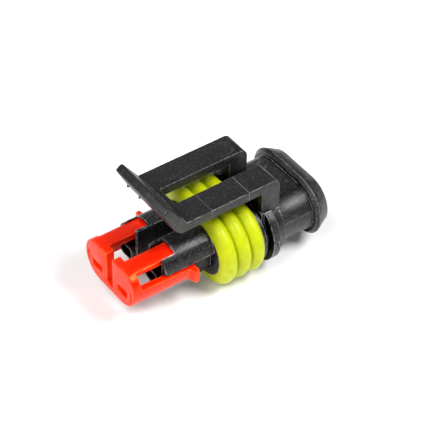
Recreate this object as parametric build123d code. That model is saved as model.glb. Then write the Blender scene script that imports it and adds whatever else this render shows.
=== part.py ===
from build123d import *
import os

# Two-way sealed plug connector, in millimetres.
# +X runs from the wire end to the mating end, +Z is up, and the two contact axes lie
# side by side at y = +-pitch / 2. The origin is the centre of the wire end's face.

# Contact layout
pitch = 6.0                 # distance between the two contact axes
tab_drop = 0.45             # the tabs enter this far below the housing's axis

# Wire end: flange, neck, shoulder and collar, all round about the contact axes
neck_radius = 3.7
neck_length = 5.2
flange_lip = 1.0            # how far the flange stands out of the neck
flange_thickness = 2.5
flange_chamfer = 0.45
flange_taper = 1.0          # how much smaller the rear face is than the rim
flange_rim = 0.1            # straight width between the taper and the chamfer
shoulder_lip = 0.65         # low step where the neck meets the collar
shoulder_length = 1.3
collar_radius = 5.2
collar_thickness = 1.3
collar_edge = 0.2
gate_mark_height = 1.0      # small sunk mark that the mould leaves in the collar
gate_mark_width = 0.3
gate_mark_depth = 0.3
gate_mark_setback = 0.52    # from the collar's rear face
back_ring_lip = 0.95        # ring that backs the seal
back_ring_width = 0.5
back_groove_width = 0.8     # space between the collar and the ring

# Ring seal
seat_radius = 3.75          # of the core that the seal sits on
seal_clearance = 0.04
rib_count = 3
rib_pitch = 2.31
rib_crest_radius = 5.6
rib_valley_radius = 4.8
rib_crown_width = 1.2       # round top of each rib, between its straight flanks
rib_crown_height = 0.118
seal_lead_radius = 4.2      # of the seal's front face
seal_lead_height = 4.6      # radius where its lead-in meets the first rib
seal_lead_width = 0.45

# Towers
tower_reach = 7.8           # from the seal's front to the towers' front
tower_outer_side = 2.6      # from each contact axis out to its tower's side
tower_inner_side = 1.64     # and in to the slot between the towers
tower_top = 4.1
tower_bottom = 2.8          # below the axis
tower_corner = 2.9
tower_web = 1.2             # closed stretch between the towers, in front of the seal
tower_wall = 0.4            # floor left under the hollow round each nose
window_length = 2.15        # open top over each tongue, at the towers' front
front_recess = 1.5          # hollow round each nose

# Noses, which hold the mouths of the contact chambers
nose_reach = 0.75           # of each nose's tip, in front of its tower
nose_half_width = 1.55
nose_height = 2.95
nose_round = 1.1
nose_low_round = 0.3
tip_undercut = 0.75         # how far the tip's underside lies above the nose's
tip_low_round = 1.0
nose_root = 0.3             # how far each nose reaches back into its tower
nose_wall = 0.8             # front wall of each chamber, behind the nose's tip
port_width = 2.4            # mouth of each nose, in front of the chamber
port_height = 1.65
port_round = 0.4
tab_hole_width = 1.9
tab_hole_height = 1.1

# Contact chambers and seal bores
chamber_width = 2.5
chamber_height = 2.2
bore_wall = 0.6             # between the two bores
bore_end_gap = 0.1          # from the contact's grip to the bore's end

# Secondary lock
lock_stroke = 2.6
stop_gap = 0.75             # left between plate and noses once the lock is home
slide_clearance = 0.1
plate_thickness = 1.27
plate_top = 3.5
plate_bottom = 2.8          # below the axis
plate_top_corner = 2.6
plate_low_corner = 3.3
plate_slot_width = 1.45
plate_web = 1.0             # left below the slot
plate_edge = 0.15
tongue_outer_side = 1.35    # from each contact axis out to the tongue's side
tongue_inner_side = 1.15    # and in to its other side
tongue_thickness = 1.0
tongue_margin = 0.9         # from the tongue's end to the seal when the lock is home
tongue_end_gap = 0.3        # from there to the end of its pocket
arm_thickness = 1.0
arm_gap = 0.3               # between each side arm and the nose beside it
arm_top = 1.2
arm_fall = 0.35             # how much lower the arm's top is at its rear end
arm_bottom = 1.6            # below the axis
arm_margin = 0.55           # from the arm's end to the seal when the lock is home
nub_reach = 1.0             # how far the nub stands out of the arm
nub_length = 1.1
nub_height = 1.9
nub_bevel = 0.2             # rear corner
nub_crown = 0.66            # length of the nub's flat crown and bevel
lock_root = 0.2             # how far arms and tongues reach into the plate
mouth_width = 2.4           # of the pocket round each tab opening
mouth_height = 1.3
mouth_depth = 0.9
slit_offset = 2.05          # from each contact axis out to the slit
slit_width = 0.35
slit_height = 1.95

# Latch
latch_half_width = 5.7
latch_gap = 3.5             # slot between the two arms
latch_underside = 7.95
latch_thickness = 1.45
leg_thickness = 2.95
leg_setback = 0.1           # from the shoulder's rear face to the legs' rear face
leg_round = 1.2
slot_length = 11.45         # of the slot between the arms, in front of the legs
bridge_length = 2.0         # from the slot's front end to the foot of the lip
lip_rise = 3.75             # above the arms
lip_lean = 2.7              # how far the lip's rear side leans forward
lip_foot = 1.9              # thickness at the foot
lip_tip = 1.05              # thickness at the tip
lip_tip_fall = 0.72         # how much lower the tip's front edge is than its rear edge
lip_tip_round = 0.38
lip_undercut = 0.85         # height of the bevel under the lip's foot
lip_undercut_length = 0.75
pivot_height = 4.4
pivot_clearance = 0.04
knuckle_radius = 0.95       # round foot under each leg, in its saddle
leg_side_clearance = 0.06
leg_rock = 8.6              # how far each leg can rock back in its seat, in degrees

# Contacts, bent from strip
strip = 0.3
contact_clearance = 0.05
box_length = 8.6
box_setback = 0.1           # from the chamber's end to the box
leaf_setback = 0.5          # from the box's rear end to the leaf's root
leaf_root = 0.6             # length of the root under the box's roof
leaf_bend = 2.2             # from the box's rear end to the leaf's first bend
leaf_flat_end = 2.6         # from the box's front end to the leaf's second bend
leaf_tip = 0.8              # from the box's front end to the leaf's tip
leaf_height = 0.35          # of the leaf's underside above the tab's mid-plane
leaf_dip = 0.07             # how much lower it is at the second bend
leaf_tip_height = 0.6
neck_strip_length = 1.5
wire_wing_length = 2.8
wire_wing_height = 1.9
wire_wing_width = 1.7
link_strip_width = 1.1      # flat strips between box, wire wings and grip
grip_length = 2.1
grip_clearance = 0.03       # round the wire seal's tail
grip_opening = 1.2

# Wire seals
wire_seal_length = 5.4
wire_seal_ribs = 3
wire_seal_waist = 2.2
wire_seal_fit = 0.04        # between the ribs and the bore
wire_hole_radius = 0.9
wire_seal_tail = 2.4
wire_seal_tail_radius = 1.4
wire_seal_setback = 2.4     # from the wire end's face

# For cuts alone
overrun = 1.0               # how far a cut runs past the face that it opens
outside = 20.0              # a distance that is clear of the part on every side

# Stations along X
x_neck = flange_thickness
x_shoulder = x_neck + neck_length
x_collar = x_shoulder + shoulder_length
x_groove = x_collar + collar_thickness
x_ring = x_groove + back_groove_width
x_seal = x_ring + back_ring_width
seal_length = rib_count * rib_pitch
x_seal_front = x_seal + seal_length
x_slot_end = x_seal_front + tower_web
x_tower = x_seal_front + tower_reach
x_nose = x_tower + nose_reach
x_plate = x_nose + stop_gap + lock_stroke
x_face = x_plate + plate_thickness
x_chamber_end = x_tower - nose_wall
x_tail = wire_seal_setback + wire_seal_length
x_tail_end = x_tail + wire_seal_tail
x_grip = x_tail_end + strip
x_bore_end = x_grip + bore_end_gap
x_pocket = x_seal_front + tongue_margin - tongue_end_gap
x_arm_end = x_seal_front + lock_stroke + arm_margin
x_tongue_end = x_seal_front + lock_stroke + tongue_margin
x_leg = x_shoulder + leg_setback
x_leg_front = x_leg + leg_thickness
x_pivot = x_leg + leg_thickness / 2
x_slot_front = x_leg_front + slot_length

# Places across the part that more than one piece uses
half_pitch = pitch / 2
bore_radius = half_pitch - bore_wall / 2
tower_half_width = half_pitch + tower_outer_side
tower_gap = pitch - 2 * tower_inner_side
tab_z = -tab_drop
flange_radius = neck_radius + flange_lip
arm_inner = half_pitch + nose_half_width + arm_gap
plate_half_width = arm_inner + arm_thickness
tongue_inner = half_pitch - tongue_inner_side
tongue_outer = half_pitch + tongue_outer_side
slit_middle = half_pitch + slit_offset
tongue_floor = plate_top - tongue_thickness
latch_top = latch_underside + latch_thickness
saddle_radius = knuckle_radius + pivot_clearance
grip_radius = wire_seal_tail_radius + grip_clearance + strip


def stadium(radius):
    """Section with a round end about each contact axis."""
    return SlotCenterToCenter(pitch, 2 * radius)


def prism(section, x_from, x_to):
    """A section in the YZ plane drawn out between two stations."""
    return extrude(Plane.YZ.offset(x_from) * section, x_to - x_from)


def block(x, y, z):
    """A box given by its span along each axis."""
    spans = [abs(s[1] - s[0]) for s in (x, y, z)]
    middle = [(s[0] + s[1]) / 2 for s in (x, y, z)]
    return Pos(*middle) * Box(*spans)


def rounded(half_width, low, high, low_corner, high_corner):
    """Section with one radius at its lower corners and one at its upper corners."""
    outline = Pos(0, (low + high) / 2) * Rectangle(2 * half_width, high - low)
    outline = fillet(outline.vertices().sort_by(Axis.Y)[:2], low_corner)
    return fillet(outline.vertices().sort_by(Axis.Y)[-2:], high_corner)


def ring_about_axes(profile):
    """A ring whose XZ profile is spun about each contact axis and drawn straight between."""
    face = make_face(profile)
    strip_top = extrude(face, half_pitch, both=True)
    strip_low = mirror(strip_top, Plane.XY)
    end = revolve(Pos(0, half_pitch, 0) * face, Axis((0, half_pitch, 0), (1, 0, 0)), 180)
    if end.center().Y < half_pitch:
        end = mirror(end, Plane.XZ.offset(-half_pitch))
    return strip_top + strip_low + end + mirror(end, Plane.XZ)


def make_housing():
    """Moulded body: flange, neck, collar, seal core and the two front towers."""
    flange = prism(stadium(flange_radius), 0, x_neck)
    flange = chamfer(flange.faces().sort_by(Axis.X)[-1].edges(), flange_chamfer)
    rear = flange.faces().sort_by(Axis.X)[0]
    flange = chamfer(rear.edges(), flange_taper, flange_thickness - flange_chamfer - flange_rim,
                     reference=rear)
    collar = prism(stadium(collar_radius), x_collar, x_groove)
    collar = chamfer(collar.faces().sort_by(Axis.X)[0].edges(), collar_edge)
    body = flange + prism(stadium(neck_radius), x_neck, x_groove)
    body += prism(stadium(neck_radius + shoulder_lip), x_shoulder, x_collar)
    body += collar
    body += prism(stadium(seat_radius), x_groove, x_seal_front)
    body += prism(stadium(seat_radius + back_ring_lip), x_ring, x_seal)
    body += make_towers()
    for side in (-1, 1):
        body += block((x_leg, x_leg_front), (side * latch_gap / 2, side * latch_half_width),
                      (0, pivot_height))
        body -= make_leg_space(side)
        body -= make_cavity(side)
    mark_y = half_pitch + collar_radius
    mark_x = x_collar + gate_mark_setback
    body -= block((mark_x, mark_x + gate_mark_width),
                  (mark_y - gate_mark_depth, mark_y + overrun),
                  (-gate_mark_height / 2, gate_mark_height / 2))
    return body


def tower_outline():
    """Section of the two towers together."""
    return rounded(tower_half_width, -tower_bottom, tower_top, tower_corner, tower_corner)


def plate_outline(clearance=0.0):
    """Section of the lock's plate, which the tongues follow, or of the room round it."""
    return rounded(plate_half_width + clearance, -plate_bottom - clearance, plate_top + clearance,
                   plate_low_corner + clearance, plate_top_corner + clearance)


def make_towers():
    """The two towers with their tongue pockets, side channels, windows and noses."""
    towers = prism(tower_outline(), x_seal_front, x_tower)
    towers -= block((x_slot_end, x_tower), (-tower_gap / 2, tower_gap / 2), (-outside, outside))
    pocket = (x_pocket, x_tower)
    window = (x_tower - window_length, x_tower)
    pocket_inner = tongue_inner - slide_clearance
    pocket_outer = tongue_outer + slide_clearance
    pocket_z = (tongue_floor - slide_clearance, plate_top + slide_clearance)
    hollow = (x_tower - front_recess, x_tower)
    room = prism(plate_outline(slide_clearance), x_pocket, x_tower)
    for side in (-1, 1):
        across = (side * pocket_inner, side * pocket_outer)
        towers -= block(pocket, across, pocket_z) & room
        towers -= block(window, across, (pocket_z[0], outside))
        towers -= block(hollow, across, (-tower_bottom + tower_wall, pocket_z[1]))
        channel = (side * (arm_inner - slide_clearance), side * outside)
        towers -= block((x_seal_front, x_tower), channel,
                        (-arm_bottom - slide_clearance, arm_top + slide_clearance))
        towers += Pos(0, side * half_pitch, 0) * make_nose()
    return towers


def make_nose():
    """Round-topped mouth of one contact chamber, on the contact's own axis, with its tip."""
    low = tab_z - nose_height / 2
    top = tab_z + nose_height / 2
    nose = rounded(nose_half_width, low, top, nose_low_round, nose_round)
    tip = rounded(nose_half_width, low + tip_undercut, top, tip_low_round, nose_round)
    return (prism(nose, x_tower - front_recess - nose_root, x_tower)
            + prism(tip, x_tower - nose_root, x_nose))


def make_cavity(side):
    """Seal bore, contact chamber and port of one way, to be cut from the body."""
    y = side * half_pitch
    port_z = tab_z + (port_height - tab_hole_height) / 2
    bore = prism(Pos(y, 0) * Circle(bore_radius), 0, x_bore_end)
    chamber = prism(Pos(y, tab_z) * Rectangle(chamber_width, chamber_height),
                    x_bore_end, x_chamber_end)
    port = prism(Pos(y, port_z) * RectangleRounded(port_width, port_height, port_round),
                 x_chamber_end, x_nose)
    return bore + chamber + port


def make_leg_space(side):
    """Room for one latch leg: a round saddle, and the space that the leg rocks back in."""
    pivot = Pos(x_pivot, side * (latch_gap / 2 + latch_half_width) / 2, pivot_height)
    width = latch_half_width - latch_gap / 2 + 2 * leg_side_clearance
    half_leg = leg_thickness / 2
    space = block((-half_leg - leg_setback - overrun, half_leg + leg_side_clearance),
                  (-width / 2, width / 2), (-pivot_clearance, latch_top))
    saddle = Rot(90, 0, 0) * Cylinder(saddle_radius, width)
    return pivot * saddle + pivot * space + pivot * Rot(0, -leg_rock, 0) * space


def make_latch():
    """Rocking latch: two legs, two long arms, the front bridge and its leaning lip."""
    foot = x_slot_front + bridge_length - (lip_foot - lip_undercut_length)
    rear_foot = (foot, latch_top)
    rear_tip = (foot + lip_lean, latch_top + lip_rise)
    front_tip = (rear_tip[0] + lip_tip, rear_tip[1] - lip_tip_fall)
    front_foot = (foot + lip_foot, latch_underside + lip_undercut)
    toe = (front_foot[0] - lip_undercut_length, latch_underside)
    side_view = Polyline(
        (x_leg, pivot_height), (x_leg, latch_top), rear_foot, rear_tip, front_tip, front_foot,
        toe, (x_leg_front, latch_underside), (x_leg_front, pivot_height), close=True)
    outline = make_face(Plane.XZ * side_view)
    latch = extrude(outline, latch_half_width, both=True)
    knuckle = Pos(x_pivot, 0, pivot_height) * Rot(90, 0, 0) * Cylinder(
        knuckle_radius, 2 * latch_half_width)
    rear_edge = latch.edges().filter_by(Axis.Y).sort_by_distance((x_leg, 0, latch_top))[0]
    latch = fillet(rear_edge, leg_round)
    tips = latch.edges().filter_by(Axis.Y).sort_by(Axis.Z)[-2:]
    latch = fillet(tips, lip_tip_round)
    slot = block((x_leg - overrun, x_slot_front), (-latch_gap / 2, latch_gap / 2), (0, outside))
    return latch + knuckle - slot


def make_lock():
    """Secondary lock: slotted front plate, two tongues and two side arms with nubs."""
    outline = plate_outline()
    plate = prism(outline, x_plate, x_face)
    plate = chamfer(plate.faces().sort_by(Axis.X)[-1].edges(), plate_edge)
    x_root = x_plate + lock_root
    arm_side = Plane.XZ * Polyline(
        (x_arm_end, -arm_bottom), (x_root, -arm_bottom), (x_root, arm_top),
        (x_arm_end, arm_top - arm_fall), close=True)
    arms = extrude(make_face(arm_side), outside, both=True) & prism(outline, x_arm_end, x_root)
    arms -= block((x_arm_end, x_plate), (-arm_inner, arm_inner), (-outside, outside))
    lock = plate + arms
    through = (x_plate - overrun, x_face + overrun)
    inside = prism(outline, x_tongue_end, x_root)
    for side in (-1, 1):
        tongue = block((x_tongue_end, x_root), (side * tongue_inner, side * tongue_outer),
                       (tongue_floor, plate_top))
        lock += tongue & inside
        lock += make_nub(side)
        lock -= make_mouth(side)
        lock -= block(through,
                      (side * slit_middle - slit_width / 2, side * slit_middle + slit_width / 2),
                      (-slit_height / 2, slit_height / 2))
    lock -= block(through, (-plate_slot_width / 2, plate_slot_width / 2),
                  (-plate_bottom + plate_web, outside))
    return lock


def make_nub(side):
    """Snap nub on the outside of one side arm's rear end."""
    outer = plate_half_width + nub_reach
    x_front = x_arm_end + nub_length
    points = [(x_arm_end, arm_inner), (x_arm_end, outer - nub_bevel), (x_arm_end + nub_bevel, outer),
              (x_arm_end + nub_crown, outer), (x_front, plate_half_width), (x_front, arm_inner)]
    shape = make_face(Polyline(*[(x, side * y) for x, y in points], close=True))
    nub = extrude(shape, nub_height / 2, both=True)
    return Pos(0, 0, (arm_top - arm_fall) - nub_height / 2) * nub


def make_mouth(side):
    """Pocket and passage of one tab opening in the lock's plate."""
    middle = Pos(side * half_pitch, tab_z)
    hole = prism(middle * Rectangle(tab_hole_width, tab_hole_height), x_plate - overrun, x_face)
    mouth = prism(middle * Rectangle(mouth_width, mouth_height), x_face - mouth_depth,
                  x_face + overrun)
    return hole + mouth


def make_ring_seal():
    """Ribbed ring about both contact axes."""
    inner = seat_radius + seal_clearance
    x = x_seal_front - seal_lead_width
    height = seal_lead_height
    outline = Polyline(
        (x_seal, rib_valley_radius), (x_seal, inner), (x_seal_front, inner),
        (x_seal_front, seal_lead_radius), (x, height))
    for k in range(rib_count):
        crest = x_seal_front - rib_pitch * (k + 0.5)
        valley = x_seal_front - rib_pitch * (k + 1)
        half_crown = rib_crown_width / 2
        shoulder = rib_crest_radius - rib_crown_height
        outline += Line((x, height), (crest + half_crown, shoulder))
        outline += ThreePointArc((crest + half_crown, shoulder), (crest, rib_crest_radius),
                                 (crest - half_crown, shoulder))
        outline += Line((crest - half_crown, shoulder), (valley, rib_valley_radius))
        x = valley
        height = rib_valley_radius
    return ring_about_axes(Plane.XZ * outline)


def make_contact(side):
    """Receptacle contact: spring box, neck, wire wings and seal grip, bent from one strip."""
    y = side * half_pitch
    width = chamber_width - 2 * contact_clearance
    height = chamber_height - 2 * contact_clearance
    floor = tab_z - height / 2
    box_front = x_chamber_end - box_setback
    box_rear = box_front - box_length
    shell = Pos(y, tab_z) * Rectangle(width, height) - Pos(y, tab_z) * Rectangle(
        width - 2 * strip, height - 2 * strip)
    contact = prism(shell, box_rear, box_front)
    skin = strip / 2
    roof = tab_z + height / 2 - skin
    line = [(box_rear + leaf_bend, leaf_height), (box_front - leaf_flat_end, leaf_height - leaf_dip),
            (box_front - leaf_tip, leaf_tip_height)]
    under = [(x, tab_z + z) for x, z in line]
    over = [(x, z + skin) for x, z in reversed(under)]
    spring = Plane.XZ * Polyline(
        (box_rear + leaf_setback, roof), *under, *over,
        (box_rear + leaf_setback + leaf_root, roof), close=True)
    leaf = extrude(make_face(spring), (width - 4 * strip) / 2, both=True)
    contact += Pos(0, y, 0) * leaf
    wing_front = box_rear - neck_strip_length
    wing_rear = wing_front - wire_wing_length
    half_link = link_strip_width / 2
    contact += block((x_tail_end, box_rear), (y - half_link, y + half_link), (floor, floor + strip))
    wing = Pos(y, floor + wire_wing_height / 2) * Rectangle(wire_wing_width, wire_wing_height)
    wing -= Pos(y, floor + strip + wire_wing_height / 2) * Rectangle(
        wire_wing_width - 2 * strip, wire_wing_height)
    contact += prism(wing, wing_rear, wing_front)
    grip = Circle(grip_radius) - Circle(grip_radius - strip)
    grip -= Pos(0, grip_radius) * Rectangle(grip_opening, grip_radius)
    contact += prism(Pos(y, 0) * grip, x_grip - grip_length, x_grip)
    contact += block((x_tail_end, x_grip), (y - half_link, y + half_link),
                     (-grip_radius + skin, floor + strip))
    return contact


def make_wire_seal(side):
    """Ribbed single-wire seal in its bore, with the tail that the contact grips."""
    y = side * half_pitch
    crest = bore_radius - wire_seal_fit
    start = wire_seal_setback
    rib = wire_seal_length / wire_seal_ribs
    profile = Polyline((start, wire_seal_waist), (start, wire_hole_radius),
                       (x_tail_end, wire_hole_radius), (x_tail_end, wire_seal_tail_radius),
                       (x_tail, wire_seal_tail_radius), (x_tail, wire_seal_waist))
    for k in range(wire_seal_ribs):
        x = x_tail - rib * k
        profile += Polyline((x, wire_seal_waist), (x - rib / 2, crest), (x - rib, wire_seal_waist))
    face = make_face(Plane.XZ * profile)
    return Pos(0, y, 0) * revolve(face, Axis.X, 360)


os.makedirs("parts", exist_ok=True)
nodes = {
    "housing": make_housing(),
    "latch_lever": make_latch(),
    "secondary_lock": make_lock(),
    "ring_seal": make_ring_seal(),
    "contact_1": make_contact(1),
    "contact_2": make_contact(-1),
    "wire_seal_1": make_wire_seal(1),
    "wire_seal_2": make_wire_seal(-1),
}
for name, shape in nodes.items():
    export_step(shape, f"parts/{name}.step")
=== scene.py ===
"""Dresses the two-way sealed plug connector and sets it on a pale floor under soft studio light."""
import logging
import math
from contextlib import contextmanager
from dataclasses import dataclass, field, replace
from enum import Enum
from typing import Callable, Iterator, Sequence, Union

import bpy
from mathutils import Matrix, Vector


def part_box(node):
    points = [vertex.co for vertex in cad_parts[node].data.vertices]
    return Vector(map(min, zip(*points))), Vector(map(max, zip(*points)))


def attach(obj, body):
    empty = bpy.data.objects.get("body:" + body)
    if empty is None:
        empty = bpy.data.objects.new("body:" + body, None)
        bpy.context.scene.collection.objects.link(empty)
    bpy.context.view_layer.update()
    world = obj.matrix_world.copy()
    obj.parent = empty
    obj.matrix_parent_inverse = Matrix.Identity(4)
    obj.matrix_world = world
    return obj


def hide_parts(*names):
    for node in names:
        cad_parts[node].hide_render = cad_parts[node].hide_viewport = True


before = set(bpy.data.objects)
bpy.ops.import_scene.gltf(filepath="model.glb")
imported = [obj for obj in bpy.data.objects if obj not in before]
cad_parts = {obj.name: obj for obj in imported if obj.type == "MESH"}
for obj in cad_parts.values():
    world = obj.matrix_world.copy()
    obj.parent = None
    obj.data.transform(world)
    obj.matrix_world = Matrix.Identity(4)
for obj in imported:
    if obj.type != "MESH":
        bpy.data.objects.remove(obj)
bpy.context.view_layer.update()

MILLIMETRE = 0.001
log = logging.getLogger("plug")

Node = bpy.types.Node
Socket = bpy.types.NodeSocket
Value = Union[Socket, float]
Colour = Union[Socket, Sequence[float]]
Span = tuple[float, float]
RGB = tuple[float, float, float]

RISING = (0.0, 1.0)
FALLING = (1.0, 0.0)
# Black of the painted shade in deep corners.
SHADE_BLACK = (0.0, 0.0, 0.0)
WHITE = (1.0, 1.0, 1.0)

# A Mix node repeats its socket names for each kind of data, so its colour sockets go by number.
MIX_FACTOR = 0
MIX_BASE = 6
MIX_OVER = 7
MIX_RESULT = 2

# Mould grain: the scale factor and the detail of each layer, then the share of the finer one.
GRAIN_LAYERS = ((1.0, 3.0), (2.7, 2.0))
GRAIN_ROUGHNESS = 0.6
FINER_SHARE = 0.5
MOTTLE_NOISE = {"Detail": 4.0, "Roughness": 0.55}
MOTTLE_SPAN = (0.3, 0.7)
SPECK_SPAN = (0.52, 0.68)

# Edge wear and painted edge highlights: the cosine between the rounded and the true normal, and the noise
# that breaks it up.
EDGE_SAMPLES = 6
EDGE_SPAN = (0.99, 0.9)
BREAK_DETAIL = 3.0
BREAK_SPAN = (0.35, 0.65)

# Scuffs: scratches are the places where a stretched noise is close to its middle.
SCRATCH_TURN = (0.3, 0.2, 0.7)
SCRATCH_STRETCH = (0.22, 1.0, 1.0)
SCRATCH_DETAIL = 2.0
NOISE_MIDDLE = 0.5
SCRATCH_SPAN = (0.0, 0.012)
PATCH_NOISE = {"Detail": 2.0, "Scale": 180.0}
PATCH_SPAN = (0.5, 0.62)
SCRATCH_ROUGHNESS = 0.1

# Painted corner shade: the share of open sky at which it is darkest, and at which it ends.
SKY_SAMPLES = 8
SKY_SPAN = (0.4, 0.9)

# Mould lines, in metres.
LINE_HALF_WIDTH = 0.00005

REFRACTION = 1.5

# Cleaning of a modelled mesh, in millimetres and degrees.
MERGE_DISTANCE = 0.002
FLAT_ANGLE = 0.5


class Body(Enum):
    """The moving groups of the plug."""

    BODY = "body"
    LATCH = "latch"
    LOCK = "lock"


class Slot(Enum):
    """The names of three material slots: black plastic, red plastic and seal rubber."""

    BLACK = "black_plastic"
    RED = "red_plastic"
    SEAL = "seal_rubber"


class Net:
    """A node tree with short calls to add nodes and links."""

    def __init__(self, tree: bpy.types.NodeTree) -> None:
        """Starts from an empty tree.

        Args:
            tree: The material's, world's or group's node tree.
        """
        self.tree = tree
        tree.nodes.clear()

    def add(self, kind: str, **settings: object) -> Node:
        """Adds a node.

        Args:
            kind: The node's type without its ShaderNode prefix.
            settings: Node properties, or input values when the name is an input with _ for spaces.

        Returns:
            The new node.
        """
        name = kind if kind.startswith("Node") else f"ShaderNode{kind}"
        node = self.tree.nodes.new(name)
        for key, value in settings.items():
            if hasattr(node, key):
                setattr(node, key, value)
            else:
                node.inputs[key.replace("_", " ")].default_value = value
        return node

    def link(self, source: Socket, target: Socket) -> None:
        """Joins an output to an input.

        Args:
            source: The output.
            target: The input.
        """
        self.tree.links.new(source, target)

    def math(self, operation: str, first: Value, second: Value = 0.0, clamp: bool = False) -> Socket:
        """Adds a Math node on two sockets or numbers.

        Args:
            operation: Blender's name of the operation.
            first: Socket or number.
            second: Socket or number.
            clamp: Whether the result is kept between 0 and 1.

        Returns:
            The result's socket.
        """
        node = self.add("Math", operation=operation, use_clamp=clamp)
        for index, value in enumerate((first, second)):
            if isinstance(value, Socket):
                self.link(value, node.inputs[index])
            else:
                node.inputs[index].default_value = value
        return node.outputs[0]

    def remap(self, value: Socket, span: Span, onto: Span = RISING) -> Socket:
        """Maps a value from one span to another, held at its ends.

        Args:
            value: Socket that varies over the surface.
            span: Start and end of the span read.
            onto: Results at the start and at the end.

        Returns:
            The mapped value's socket.
        """
        node = self.add("MapRange")
        self.link(value, node.inputs["Value"])
        for name, number in zip(("From Min", "From Max", "To Min", "To Max"), (*span, *onto)):
            node.inputs[name].default_value = number
        return node.outputs["Result"]

    def tint(self, mask: Socket, base: Colour, over: Colour) -> Socket:
        """Mixes two colours by a mask.

        Args:
            mask: 0 gives base, 1 gives over.
            base: Colour socket or RGB numbers.
            over: Colour socket or RGB numbers.

        Returns:
            The mixed colour's socket.
        """
        node = self.add("Mix", data_type="RGBA")
        self.link(mask, node.inputs[MIX_FACTOR])
        for index, value in ((MIX_BASE, base), (MIX_OVER, over)):
            if isinstance(value, Socket):
                self.link(value, node.inputs[index])
            else:
                node.inputs[index].default_value = (*value, 1.0)
        return node.outputs[MIX_RESULT]


def make_group(name: str, inputs: dict[str, float], outputs: Sequence[str],
               build: Callable[[Net, Node, Node], None]) -> bpy.types.NodeTree:
    """Builds a shader node group with named inputs and outputs.

    Args:
        name: The group's name.
        inputs: Each input's name and default number.
        outputs: Each output's name. All of them are numbers.
        build: Lays the nodes, given the net, the group's input node and its output node.

    Returns:
        The finished group.
    """
    tree = bpy.data.node_groups.new(name, "ShaderNodeTree")
    for label, number in inputs.items():
        socket = tree.interface.new_socket(label, in_out="INPUT", socket_type="NodeSocketFloat")
        socket.default_value = number
    for label in outputs:
        tree.interface.new_socket(label, in_out="OUTPUT", socket_type="NodeSocketFloat")
    net = Net(tree)
    build(net, net.add("NodeGroupInput"), net.add("NodeGroupOutput"))
    return tree


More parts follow.
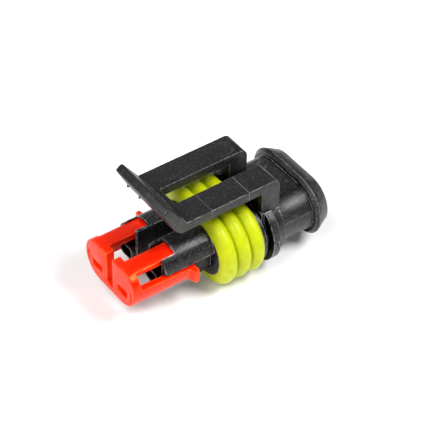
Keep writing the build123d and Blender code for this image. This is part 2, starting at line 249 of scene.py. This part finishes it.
@dataclass(frozen=True)
class EffectShelf:
    """The node groups that the finishes share."""

    grain: bpy.types.NodeTree
    edges: bpy.types.NodeTree
    scuffs: bpy.types.NodeTree
    corner_shade: bpy.types.NodeTree
    lines: bpy.types.NodeTree

    @staticmethod
    def stock() -> "EffectShelf":
        """Builds every shared effect once.

        Returns:
            The shelf with its groups.
        """
        return EffectShelf(EffectShelf._grain(), EffectShelf._edge_wear_and_highlight(), EffectShelf._scuffs(),
                           EffectShelf._corner_shade(), EffectShelf._lines())

    @staticmethod
    def _grain() -> bpy.types.NodeTree:
        """Spark-eroded mould grain: a fine height with a slow mottle and bright specks."""
        def build(net: Net, given: Node, out: Node) -> None:
            """Lays two sizes of noise, and a slow one beside them."""
            place = net.add("TexCoord").outputs["Object"]
            heights = []
            for factor, detail in GRAIN_LAYERS:
                noise = net.add("TexNoise", Detail=detail, Roughness=GRAIN_ROUGHNESS)
                net.link(place, noise.inputs["Vector"])
                net.link(net.math("MULTIPLY", given.outputs["Scale"], factor), noise.inputs["Scale"])
                heights.append(noise.outputs["Fac"])
            both = net.math("ADD", heights[0], net.math("MULTIPLY", heights[1], FINER_SHARE))
            net.link(both, out.inputs["Height"])
            slow = net.add("TexNoise", **MOTTLE_NOISE)
            net.link(place, slow.inputs["Vector"])
            net.link(given.outputs["Mottle Scale"], slow.inputs["Scale"])
            net.link(net.remap(slow.outputs["Fac"], MOTTLE_SPAN), out.inputs["Mottle"])
            net.link(net.remap(heights[0], SPECK_SPAN), out.inputs["Speck"])
        return make_group("mould_grain", {"Scale": 7000.0, "Mottle Scale": 500.0},
                          ("Height", "Mottle", "Speck"), build)

    @staticmethod
    def _edge_wear_and_highlight() -> bpy.types.NodeTree:
        """Edge wear and painted edge highlights: where a rounded normal leaves the true one, broken up by
        noise.
        """
        def build(net: Net, given: Node, out: Node) -> None:
            """Compares the two normals and breaks up the line between them."""
            rounded = net.add("Bevel", samples=EDGE_SAMPLES)
            net.link(given.outputs["Width"], rounded.inputs["Radius"])
            dot = net.add("VectorMath", operation="DOT_PRODUCT")
            net.link(rounded.outputs["Normal"], dot.inputs[0])
            net.link(net.add("NewGeometry").outputs["Normal"], dot.inputs[1])
            line = net.remap(dot.outputs["Value"], EDGE_SPAN)
            noise = net.add("TexNoise", Detail=BREAK_DETAIL)
            net.link(net.add("TexCoord").outputs["Object"], noise.inputs["Vector"])
            net.link(given.outputs["Break Scale"], noise.inputs["Scale"])
            broken = net.remap(noise.outputs["Fac"], BREAK_SPAN)
            net.link(net.math("MULTIPLY", line, broken, clamp=True), out.inputs["Edge"])
        return make_group("edge_wear_and_painted_highlight", {"Width": 0.00012, "Break Scale": 1500.0}, ("Edge",), build)

    @staticmethod
    def _scuffs() -> bpy.types.NodeTree:
        """Handling marks: thin stretched scratches inside slow patches."""
        def build(net: Net, given: Node, out: Node) -> None:
            """Stretches a noise along X and keeps its thin level lines."""
            place = net.add("TexCoord").outputs["Object"]
            turn = net.add("Mapping", Rotation=SCRATCH_TURN, Scale=SCRATCH_STRETCH)
            net.link(place, turn.inputs["Vector"])
            lines = net.add("TexNoise", Detail=SCRATCH_DETAIL)
            net.link(turn.outputs["Vector"], lines.inputs["Vector"])
            net.link(given.outputs["Scale"], lines.inputs["Scale"])
            level = net.math("ABSOLUTE", net.math("SUBTRACT", lines.outputs["Fac"], NOISE_MIDDLE))
            thin = net.remap(level, SCRATCH_SPAN, FALLING)
            patch = net.add("TexNoise", **PATCH_NOISE)
            net.link(place, patch.inputs["Vector"])
            where = net.remap(patch.outputs["Fac"], PATCH_SPAN)
            net.link(net.math("MULTIPLY", thin, where, clamp=True), out.inputs["Scuff"])
        return make_group("handling_scuffs", {"Scale": 900.0}, ("Scuff",), build)

    @staticmethod
    def _corner_shade() -> bpy.types.NodeTree:
        """Painted shade in deep corners and slots, where little light comes in."""
        def build(net: Net, given: Node, out: Node) -> None:
            """Turns how much of the sky is hidden into a mask of painted shade."""
            open_sky = net.add("AmbientOcclusion", samples=SKY_SAMPLES)
            net.link(given.outputs["Reach"], open_sky.inputs["Distance"])
            net.link(net.remap(open_sky.outputs["AO"], SKY_SPAN, FALLING), out.inputs["Shade"])
        return make_group("painted_corner_shade", {"Reach": 0.003}, ("Shade",), build)

    @staticmethod
    def _lines() -> bpy.types.NodeTree:
        """A thin line across X or Z, where two parts of the mould meet."""
        def build(net: Net, given: Node, out: Node) -> None:
            """Measures the distance to the line's plane, beyond one Y and between two X."""
            parts = net.add("SeparateXYZ")
            net.link(net.add("TexCoord").outputs["Object"], parts.inputs[0])
            along, near, up = parts.outputs
            place = net.math("ADD", net.math("MULTIPLY", along, given.outputs["Pick X"]),
                             net.math("MULTIPLY", up, given.outputs["Pick Z"]))
            away = net.math("ABSOLUTE", net.math("SUBTRACT", place, given.outputs["Station"]))
            inside = net.math("LESS_THAN", away, LINE_HALF_WIDTH)
            for test in (net.math("GREATER_THAN", near, given.outputs["From Y"]),
                         net.math("GREATER_THAN", along, given.outputs["From X"]),
                         net.math("LESS_THAN", along, given.outputs["To X"])):
                inside = net.math("MULTIPLY", inside, test)
            net.link(inside, out.inputs["Line"])
        return make_group("mould_lines", {"Pick X": 0.0, "Pick Z": 0.0, "Station": 0.0,
                                          "From X": 0.0, "To X": 1.0, "From Y": 0.0}, ("Line",), build)


@dataclass(frozen=True)
class MouldLine:
    """A thin line on the near side of a moulding, in metres."""

    station: float
    strength: float
    from_y: float
    across_x: bool = True
    from_x: float = 0.0
    to_x: float = 1.0

    def mask(self, net: Net, shelf: EffectShelf) -> Socket:
        """Adds the line to a material.

        Args:
            net: The material's net.
            shelf: The shared node groups.

        Returns:
            The line's mask, at its own strength.
        """
        line = net.add("Group", node_tree=shelf.lines)
        settings = {"Pick X": float(self.across_x), "Pick Z": float(not self.across_x),
                    "Station": self.station, "From X": self.from_x, "To X": self.to_x,
                    "From Y": self.from_y}
        for name, number in settings.items():
            line.inputs[name].default_value = number
        return net.math("MULTIPLY", line.outputs["Line"], self.strength)


@dataclass(frozen=True)
class MouldedFinish:
    """A moulded plastic or rubber, or a plated strip: colours, grain, mottle, edge wear with painted edge
    highlights, and scuffs.

    Scales are per metre. Widths, depths and radii are in metres.
    """

    name: str
    base: RGB
    mottle: RGB
    # The pale colour of specks, scuffs, mould lines and edges; along rounded edges it is wear on the plated
    # strip and a painted highlight on the black and red mouldings.
    edge: RGB
    roughness: float
    grain_scale: float
    grain_depth: float
    edge_wear_and_highlight_share: float
    roughness_spread: float = 0.1
    mottle_scale: float = 500.0
    mottle_share: float = 0.5
    speck_share: float = 0.0
    edge_width: float = 0.00012
    scuff_share: float = 0.2
    metallic: float = 0.0
    specular: float = 0.5
    glow: float = 0.0
    glow_radius: RGB = (0.001, 0.0004, 0.0001)
    # Share of the painted shade that darkens deep corners and takes away their reflection.
    corner_shade_share: float = 0.0
    sheen_tint: RGB = WHITE
    lines: tuple[MouldLine, ...] = ()

    def make(self, shelf: EffectShelf) -> bpy.types.Material:
        """Builds the material.

        Args:
            shelf: The shared node groups.

        Returns:
            The finished material.
        """
        material = bpy.data.materials.new(self.name)
        material.use_nodes = True
        net = Net(material.node_tree)
        skin = self._skin(net)
        grain = net.add("Group", node_tree=shelf.grain, Scale=self.grain_scale,
                        Mottle_Scale=self.mottle_scale)
        edges = net.add("Group", node_tree=shelf.edges)
        edges.inputs["Width"].default_value = self.edge_width
        scuff = net.add("Group", node_tree=shelf.scuffs).outputs["Scuff"]
        colour = net.tint(net.math("MULTIPLY", grain.outputs["Mottle"], self.mottle_share),
                          self.base, self.mottle)
        if self.speck_share:
            speck = net.math("MULTIPLY", grain.outputs["Speck"], self.speck_share)
            colour = net.tint(speck, colour, self.edge)
        colour = net.tint(net.math("MULTIPLY", scuff, self.scuff_share), colour, self.edge)
        # Edge colour along rounded edges: wear on the plated strip, painted highlights on the black and red
        # mouldings.
        wear_and_highlight = net.math("MULTIPLY", edges.outputs["Edge"], self.edge_wear_and_highlight_share)
        # Painted shade: deep corners are darkened towards black and made metallic over that black, which
        # takes away their reflection; the edges keep their painted highlights.
        if self.corner_shade_share:
            corner_shade_mask = net.add("Group", node_tree=shelf.corner_shade).outputs["Shade"]
            corner_shade_mask = net.math("MULTIPLY", corner_shade_mask, self.corner_shade_share)
            colour = net.tint(corner_shade_mask, colour, SHADE_BLACK)
            net.link(net.math("SUBTRACT", corner_shade_mask, wear_and_highlight, clamp=True), skin.inputs["Metallic"])
        colour = net.tint(wear_and_highlight, colour, self.edge)
        for line in self.lines:
            colour = net.tint(line.mask(net, shelf), colour, self.edge)
        net.link(colour, skin.inputs["Base Color"])
        low = self.roughness - self.roughness_spread / 2
        rough = net.remap(grain.outputs["Mottle"], RISING, (low, low + self.roughness_spread))
        rough = net.math("ADD", rough, net.math("MULTIPLY", scuff, SCRATCH_ROUGHNESS), clamp=True)
        net.link(rough, skin.inputs["Roughness"])
        bump = net.add("Bump", Strength=1.0, Distance=self.grain_depth)
        net.link(grain.outputs["Height"], bump.inputs["Height"])
        net.link(bump.outputs["Normal"], skin.inputs["Normal"])
        return material

    def _skin(self, net: Net) -> Node:
        """Adds the shader with its constant values.

        Args:
            net: The material's net.

        Returns:
            The shader's node.
        """
        skin = net.add("BsdfPrincipled")
        settings = {"Metallic": self.metallic, "Specular IOR Level": self.specular,
                    "IOR": REFRACTION, "Subsurface Weight": self.glow,
                    "Subsurface Radius": self.glow_radius, "Subsurface Scale": 1.0,
                    "Specular Tint": (*self.sheen_tint, 1.0)}
        for name, value in settings.items():
            skin.inputs[name].default_value = value
        net.link(skin.outputs[0], net.add("OutputMaterial").inputs["Surface"])
        return skin


# The black mouldings paint shade into deep corners, and their pale edge colour paints highlights along
# rounded edges.
BLACK_MOULDING = MouldedFinish(
    "black_moulding", base=(0.005, 0.0047, 0.0054), mottle=(0.01, 0.0095, 0.0107),
    edge=(0.34, 0.335, 0.345), roughness=0.36, roughness_spread=0.14, specular=0.42,
    grain_scale=3600.0, grain_depth=0.00003, speck_share=0.09, edge_width=0.0002, edge_wear_and_highlight_share=1.0,
    corner_shade_share=0.9)
HOUSING_MOULDING = replace(
    BLACK_MOULDING, name="housing_moulding", edge=(0.55, 0.54, 0.55), roughness=0.33,
    grain_depth=0.00004, speck_share=0.08,
    lines=(MouldLine(0.0012, strength=0.12, from_y=0.001, across_x=False, from_x=0.0026, to_x=0.0076),))
LATCH_MOULDING = replace(
    BLACK_MOULDING, name="latch_moulding", roughness=0.42,
    lines=(MouldLine(0.0129, strength=0.3, from_y=0.0018), MouldLine(0.019, strength=0.16, from_y=0.0018)))
# The red moulding's orange edge colour paints highlights along its rounded rims.
RED_MOULDING = MouldedFinish(
    "red_moulding", base=(0.92, 0.008, 0.0005), mottle=(0.95, 0.02, 0.001), edge=(1.0, 0.22, 0.03),
    roughness=0.34, grain_scale=9000.0, grain_depth=0.000002, edge_width=0.0004, edge_wear_and_highlight_share=0.8,
    scuff_share=0.12, glow=0.2, glow_radius=(0.0012, 0.0003, 0.0001), sheen_tint=(1.0, 0.72, 0.2))
SEAL_RUBBER = MouldedFinish(
    "seal_silicone", base=(0.54, 0.61, 0.003), mottle=(0.43, 0.5, 0.002), edge=(0.85, 0.9, 0.1),
    roughness=0.4, roughness_spread=0.16, grain_scale=4200.0, grain_depth=0.00002,
    mottle_scale=900.0, mottle_share=0.8, edge_wear_and_highlight_share=0.2, scuff_share=0.1, glow=0.3,
    glow_radius=(0.0012, 0.0012, 0.0003), sheen_tint=(1.0, 1.0, 0.45))
WIRE_SEAL_RUBBER = MouldedFinish(
    "wire_seal_silicone", base=(0.72, 0.56, 0.03), mottle=(0.6, 0.46, 0.02), edge=(0.85, 0.7, 0.15),
    roughness=0.45, grain_scale=5000.0, grain_depth=0.000003, edge_wear_and_highlight_share=0.2, scuff_share=0.1, glow=0.3)
TINNED_BRASS = MouldedFinish(
    "tinned_brass", base=(0.66, 0.64, 0.6), mottle=(0.55, 0.53, 0.49), edge=(0.8, 0.66, 0.4),
    roughness=0.3, grain_scale=9000.0, grain_depth=0.000002, edge_wear_and_highlight_share=0.6, scuff_share=0.5, metallic=1.0)


def clear_selection() -> None:
    """Leaves nothing selected, in object mode."""
    if bpy.context.object and bpy.context.object.mode != "OBJECT":
        bpy.ops.object.mode_set(mode="OBJECT")
    bpy.ops.object.select_all(action="DESELECT")


def pick(piece: bpy.types.Object) -> None:
    """Selects one object alone and makes it active.

    Args:
        piece: The object.
    """
    clear_selection()
    piece.select_set(True)
    bpy.context.view_layer.objects.active = piece


@contextmanager
def whole_mesh() -> Iterator[None]:
    """Opens the active object's mesh for editing with all of it selected, and closes it again."""
    bpy.ops.object.mode_set(mode="EDIT")
    bpy.ops.mesh.select_all(action="SELECT")
    yield
    bpy.ops.object.mode_set(mode="OBJECT")


def dress(piece: bpy.types.Object, material: bpy.types.Material) -> None:
    """Gives a piece one material on all its faces.

    Args:
        piece: The piece.
        material: Its finish.
    """
    piece.data.materials.clear()
    piece.data.materials.append(material)
    for face in piece.data.polygons:
        face.material_index = 0


@dataclass(frozen=True)
class LipEnds:
    """The two ends of the latch's lip, rounded along its front and its tip, in millimetres.

    A point belongs to the front or the tip when it lies beyond start, which is taken at the height
    level and leans forward with the height.
    """

    radius: float = 0.36
    segments: int = 4
    start: float = 23.0
    level: float = 8.0
    lean: float = 0.5
    slack: float = 0.01

    def round(self, piece: bpy.types.Object) -> None:
        """Rounds the edges around both end faces of the lip.

        Args:
            piece: The latch, in millimetres.
        """
        corners = piece.data.vertices
        reach = max(abs(corner.co.y) for corner in corners) - self.slack
        outline = {corner.index for corner in corners if abs(corner.co.y) > reach
                   and corner.co.x - self.lean * (corner.co.z - self.level) > self.start}
        bpy.ops.object.mode_set(mode="EDIT")
        bpy.ops.mesh.select_mode(type="EDGE")
        bpy.ops.mesh.select_all(action="DESELECT")
        bpy.ops.object.mode_set(mode="OBJECT")
        for edge in piece.data.edges:
            first, second = (corners[index].co.y for index in edge.vertices)
            edge.select = outline.issuperset(edge.vertices) and first * second > 0.0
        log.info("%s: %d edges of the lip", piece.name, sum(edge.select for edge in piece.data.edges))
        bpy.ops.object.mode_set(mode="EDIT")
        bpy.ops.mesh.bevel(offset=self.radius, segments=self.segments, affect="EDGES")
        bpy.ops.object.mode_set(mode="OBJECT")


@dataclass
class RoundedMoulding:
    """A rigid moulding: the modelled solid with its sharp edges rounded as a mould leaves them.

    Lengths are in millimetres and angles in degrees. Whatever lies beyond far_side, towards
    negative Y, is moved out by far_spread.
    """

    node: str
    name: str
    body: Body
    slot: Slot
    edge_radius: float = 0.07
    edge_segments: int = 2
    edge_angle: float = 28.0
    smooth_angle: float = 40.0
    far_side: float = 0.0
    far_spread: float = 0.0
    ends: LipEnds | None = None

    def build(self, material: bpy.types.Material) -> bpy.types.Object:
        """Copies the solid, joins its faces, rounds its edges and hangs it on its body.

        Args:
            material: The moulding's finish.

        Returns:
            The finished piece.
        """
        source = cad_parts[self.node]
        piece = bpy.data.objects.new(self.name, source.data.copy())
        bpy.context.scene.collection.objects.link(piece)
        piece.data.transform(Matrix.Scale(1.0 / MILLIMETRE, 4))
        if self.far_spread:
            for vertex in piece.data.vertices:
                if vertex.co.y < self.far_side:
                    vertex.co.y -= self.far_spread
        pick(piece)
        with whole_mesh():
            bpy.ops.mesh.remove_doubles(threshold=MERGE_DISTANCE)
            bpy.ops.mesh.dissolve_limited(angle_limit=math.radians(FLAT_ANGLE))
        if self.ends:
            self.ends.round(piece)
        rounding = piece.modifiers.new("rounding", "BEVEL")
        rounding.width = self.edge_radius
        rounding.segments = self.edge_segments
        rounding.limit_method = "ANGLE"
        rounding.angle_limit = math.radians(self.edge_angle)
        bpy.ops.object.modifier_apply(modifier=rounding.name)
        if self.ends:
            with whole_mesh():
                bpy.ops.mesh.remove_doubles(threshold=MERGE_DISTANCE)
                bpy.ops.mesh.dissolve_degenerate(threshold=MERGE_DISTANCE)
        bpy.ops.object.shade_smooth_by_angle(angle=math.radians(self.smooth_angle))
        piece.data.transform(Matrix.Scale(MILLIMETRE, 4))
        dress(piece, material)
        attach(piece, self.body.value)
        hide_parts(self.node)
        log.info("%s: %d faces", self.name, len(piece.data.polygons))
        return piece


@dataclass
class RibbedRing:
    """The silicone ring: a round-ribbed section carried once round the oval body.

    Lengths are in millimetres and the angle is in degrees. The valley and the lips are measured
    from a contact's axis.
    """

    node: str = "ring_seal"
    name: str = "seal_ring"
    half_pitch: float = 3.0
    rib_count: int = 3
    valley: float = 4.72
    front_lip: float = 4.3
    rear_lip: float = 4.6
    wall: float = 1.8
    inset: float = 0.01
    arc_steps: int = 90
    straight_steps: int = 30
    rib_steps: int = 30
    fullness: float = 0.94
    smooth_angle: float = 50.0

    def section(self, low: Vector, high: Vector) -> list[tuple[float, float]]:
        """Traces the ring's section, with each rib as the part of a circle that fullness keeps.

        Args:
            low: Lowest corner of the solid's box, in millimetres.
            high: Highest corner of the solid's box, in millimetres.

        Returns:
            Station along X and distance from the contact axis of each point, in order.
        """
        start, end, crest = low.x + self.inset, high.x - self.inset, high.z - self.inset
        bore = crest - self.wall
        pitch = (end - start) / self.rib_count
        drop = 1.0 - math.sqrt(1.0 - self.fullness ** 2)
        points = [(start, bore)]
        for rib in range(self.rib_count):
            middle = start + pitch * (rib + 0.5)
            rearmost, foremost = rib == 0, rib == self.rib_count - 1
            for step in range(self.rib_steps + int(foremost)):
                across = 2.0 * step / self.rib_steps - 1.0
                foot = self.valley
                if rearmost and across < 0.0:
                    foot = self.rear_lip
                if foremost and across > 0.0:
                    foot = self.front_lip
                fall = (1.0 - math.sqrt(1.0 - (self.fullness * across) ** 2)) / drop
                points.append((middle + across * pitch / 2.0, crest - (crest - foot) * fall))
        points.append((end, bore))
        return points

    def loop(self) -> list[tuple[float, float, float]]:
        """Walks once round the oval.

        Returns:
            For each step the Y of the axis that it turns about, then Y and Z of its outward direction.
        """
        steps = []
        for side, first in ((1.0, -math.pi / 2.0), (-1.0, math.pi / 2.0)):
            for step in range(self.arc_steps):
                angle = first + math.pi * step / self.arc_steps
                steps.append((side * self.half_pitch, math.cos(angle), math.sin(angle)))
            for step in range(self.straight_steps):
                share = 1.0 - 2.0 * step / self.straight_steps
                steps.append((side * share * self.half_pitch, 0.0, side))
        return steps

    def build(self, material: bpy.types.Material) -> bpy.types.Object:
        """Bends a torus into the ribbed oval and hangs it on the body.

        Args:
            material: The ring's finish.

        Returns:
            The finished ring.
        """
        low, high = (Vector(corner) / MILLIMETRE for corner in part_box(self.node))
        section, loop = self.section(low, high), self.loop()
        clear_selection()
        bpy.ops.mesh.primitive_torus_add(major_segments=len(loop), minor_segments=len(section))
        piece = bpy.context.object
        piece.name = self.name
        for index, vertex in enumerate(piece.data.vertices):
            axis_y, out_y, out_z = loop[index // len(section)]
            x, reach = section[index % len(section)]
            vertex.co = Vector((x, axis_y + out_y * reach, out_z * reach)) * MILLIMETRE
        with whole_mesh():
            bpy.ops.mesh.normals_make_consistent(inside=False)
        bpy.ops.object.shade_smooth_by_angle(angle=math.radians(self.smooth_angle))
        dress(piece, material)
        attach(piece, Body.BODY.value)
        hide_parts(self.node)
        log.info("%s: %d faces", self.name, len(piece.data.polygons))
        return piece


@dataclass
class EdgeBurr:
    """A speck of flash that the mould left on an edge of the latch.

    Lengths are in millimetres and the angle is in degrees.
    """

    name: str
    place: tuple[float, float, float]
    radius: float = 0.2
    subdivisions: int = 2
    smooth_angle: float = 60.0

    def build(self, material: bpy.types.Material) -> bpy.types.Object:
        """Sets a small lump on the edge.

        Args:
            material: The moulding's finish.

        Returns:
            The finished burr.
        """
        clear_selection()
        bpy.ops.mesh.primitive_ico_sphere_add(subdivisions=self.subdivisions, radius=self.radius * MILLIMETRE,
                                              location=Vector(self.place) * MILLIMETRE)
        piece = bpy.context.object
        piece.name = self.name
        bpy.ops.object.transform_apply(location=True, rotation=True, scale=True)
        bpy.ops.object.shade_smooth_by_angle(angle=math.radians(self.smooth_angle))
        dress(piece, material)
        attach(piece, Body.LATCH.value)
        log.info("%s: %d faces", self.name, len(piece.data.polygons))
        return piece


@dataclass
class CarriedPiece:
    """A solid that stays as it was modelled and only gets its finish."""

    node: str

    def build(self, material: bpy.types.Material) -> bpy.types.Object:
        """Dresses the solid.

        Args:
            material: The piece's finish.

        Returns:
            The dressed solid.
        """
        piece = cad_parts[self.node]
        dress(piece, material)
        log.info("%s: dressed", self.node)
        return piece


Maker = Union[RoundedMoulding, RibbedRing, EdgeBurr, CarriedPiece]


@dataclass(frozen=True)
class Lamp:
    """A soft square lamp that faces the plug. Lengths are in millimetres and the power is in watts."""

    name: str
    toward: tuple[float, float, float]
    reach: float
    size: float
    power: float

    def hang(self, aim: Vector) -> None:
        """Hangs the lamp.

        Args:
            aim: The point that it faces, in millimetres.
        """
        data = bpy.data.lights.new(self.name, "AREA")
        data.size = self.size * MILLIMETRE
        data.energy = self.power
        lamp = bpy.data.objects.new(self.name, data)
        bpy.context.scene.collection.objects.link(lamp)
        where = aim + Vector(self.toward).normalized() * self.reach
        lamp.location = where * MILLIMETRE
        lamp.rotation_euler = (where - aim).to_track_quat("Z", "Y").to_euler()
        log.info("%s: hung", self.name)


@dataclass
class Studio:
    """Pale floor, soft lamps and the camera at the photograph's angle.

    Lengths are in millimetres and angles in degrees.
    """

    aim: Vector = field(default_factory=lambda: Vector((16.7, 0.0, 3.0)))
    azimuth: float = 144.52
    elevation: float = 42.96
    roll: float = 0.259
    distance: float = 280.0
    lens: float = 172.5
    sensor: float = 36.0
    shift: tuple[float, float] = (0.0319, 0.0013)
    nearest: float = 10.0
    floor_z: float = -5.6
    floor_size: float = 4000.0
    floor_grey: float = 0.86
    floor_roughness: float = 0.9
    floor_glow: float = 0.085
    room_light: float = 0.06
    lamps: tuple[Lamp, ...] = (
        Lamp("left_key", toward=(0.60, 0.0, 0.80), reach=420.0, size=300.0, power=1.8),
        Lamp("near_shoulder", toward=(-0.42, 0.44, 0.79), reach=400.0, size=150.0, power=1.75),
        Lamp("front_fill", toward=(0.92, 0.15, 0.36), reach=420.0, size=300.0, power=0.45),
        Lamp("far_fill", toward=(-0.35, -0.75, 0.56), reach=420.0, size=300.0, power=0.13),
    )

    def build(self) -> None:
        """Lays the floor, hangs the lamps and sets the camera."""
        self._floor()
        self._world()
        for lamp in self.lamps:
            lamp.hang(self.aim)
        self._camera()

    def _floor(self) -> None:
        """A white sheet that keeps the soft shadow."""
        clear_selection()
        bpy.ops.mesh.primitive_plane_add(size=self.floor_size * MILLIMETRE,
                                         location=(0, 0, self.floor_z * MILLIMETRE))
        floor = bpy.context.object
        floor.name = "floor"
        material = bpy.data.materials.new("white_sheet")
        material.use_nodes = True
        net = Net(material.node_tree)
        sheet = net.add("BsdfPrincipled", Roughness=self.floor_roughness)
        sheet.inputs["Base Color"].default_value = (self.floor_grey, self.floor_grey, self.floor_grey, 1.0)
        sheet.inputs["Emission Color"].default_value = (*WHITE, 1.0)
        rays = net.add("LightPath")
        seen = net.math("MAXIMUM", rays.outputs["Is Camera Ray"], rays.outputs["Is Glossy Ray"])
        seen = net.math("MAXIMUM", seen, rays.outputs["Is Transmission Ray"])
        net.link(net.math("MULTIPLY", seen, self.floor_glow), sheet.inputs["Emission Strength"])
        net.link(sheet.outputs[0], net.add("OutputMaterial").inputs["Surface"])
        dress(floor, material)

    def _world(self) -> None:
        """A dim room that the camera sees as white."""
        world = bpy.data.worlds.new("room")
        bpy.context.scene.world = world
        world.use_nodes = True
        net = Net(world.node_tree)
        room = net.add("Background", Strength=self.room_light)
        white = net.add("Background", Strength=1.0)
        blend = net.add("MixShader")
        net.link(net.add("LightPath").outputs["Is Camera Ray"], blend.inputs[0])
        net.link(room.outputs[0], blend.inputs[1])
        net.link(white.outputs[0], blend.inputs[2])
        net.link(blend.outputs[0], net.add("OutputWorld").inputs["Surface"])

    def _camera(self) -> None:
        """Puts the camera where the photograph was taken from."""
        turn, rise = math.radians(self.azimuth), math.radians(self.elevation)
        back = Vector((math.sin(turn) * math.cos(rise), -math.cos(turn) * math.cos(rise), math.sin(rise)))
        right = Vector((math.cos(turn), math.sin(turn), 0.0))
        upward = back.cross(right)
        tilt = math.radians(self.roll)
        side = right * math.cos(tilt) + upward * math.sin(tilt)
        top = upward * math.cos(tilt) - right * math.sin(tilt)
        data = bpy.data.cameras.new("camera")
        data.sensor_width = self.sensor
        data.lens = self.lens
        data.shift_x, data.shift_y = self.shift
        data.clip_start = self.nearest * MILLIMETRE
        camera = bpy.data.objects.new("camera", data)
        bpy.context.scene.collection.objects.link(camera)
        place = (self.aim + back * self.distance) * MILLIMETRE
        camera.matrix_world = Matrix((
            (side.x, top.x, back.x, place.x), (side.y, top.y, back.y, place.y),
            (side.z, top.z, back.z, place.z), (0.0, 0.0, 0.0, 1.0)))
        bpy.context.scene.camera = camera


@dataclass
class PlugConnector:
    """The whole plug, sub-assembly by sub-assembly."""

    parts: tuple[tuple[Maker, MouldedFinish], ...] = (
        (RoundedMoulding("housing", "housing_shell", Body.BODY, Slot.BLACK), HOUSING_MOULDING),
        (RoundedMoulding("latch_lever", "latch_arm_pair", Body.LATCH, Slot.BLACK, edge_radius=0.12,
                         ends=LipEnds()), LATCH_MOULDING),
        (RoundedMoulding("secondary_lock", "lock_clip", Body.LOCK, Slot.RED, edge_radius=0.06,
                         far_side=-6.0, far_spread=0.8), RED_MOULDING),
        (RibbedRing(), SEAL_RUBBER),
        (EdgeBurr("lip_burr_far", (24.96, -5.3, 8.76)), LATCH_MOULDING),
        (EdgeBurr("lip_burr_near", (24.96, -2.55, 8.76)), LATCH_MOULDING),
        (CarriedPiece("contact_1"), TINNED_BRASS),
        (CarriedPiece("contact_2"), TINNED_BRASS),
        (CarriedPiece("wire_seal_1"), WIRE_SEAL_RUBBER),
        (CarriedPiece("wire_seal_2"), WIRE_SEAL_RUBBER),
    )

    def build(self, shelf: EffectShelf) -> list[bpy.types.Object]:
        """Builds and dresses every piece.

        Args:
            shelf: The shared node groups.

        Returns:
            The pieces, in the order in which they were built.
        """
        materials: dict[str, bpy.types.Material] = {}
        pieces = []
        for maker, finish in self.parts:
            if finish.name not in materials:
                materials[finish.name] = finish.make(shelf)
            pieces.append(maker.build(materials[finish.name]))
        return pieces


def main() -> None:
    """Builds the plug and the studio, and reports each piece."""
    logging.basicConfig(level=logging.INFO, format="%(name)s: %(message)s")
    bpy.context.scene.view_settings.view_transform = "Standard"
    PlugConnector().build(EffectShelf.stock())
    Studio().build()


if __name__ == "__main__":
    main()
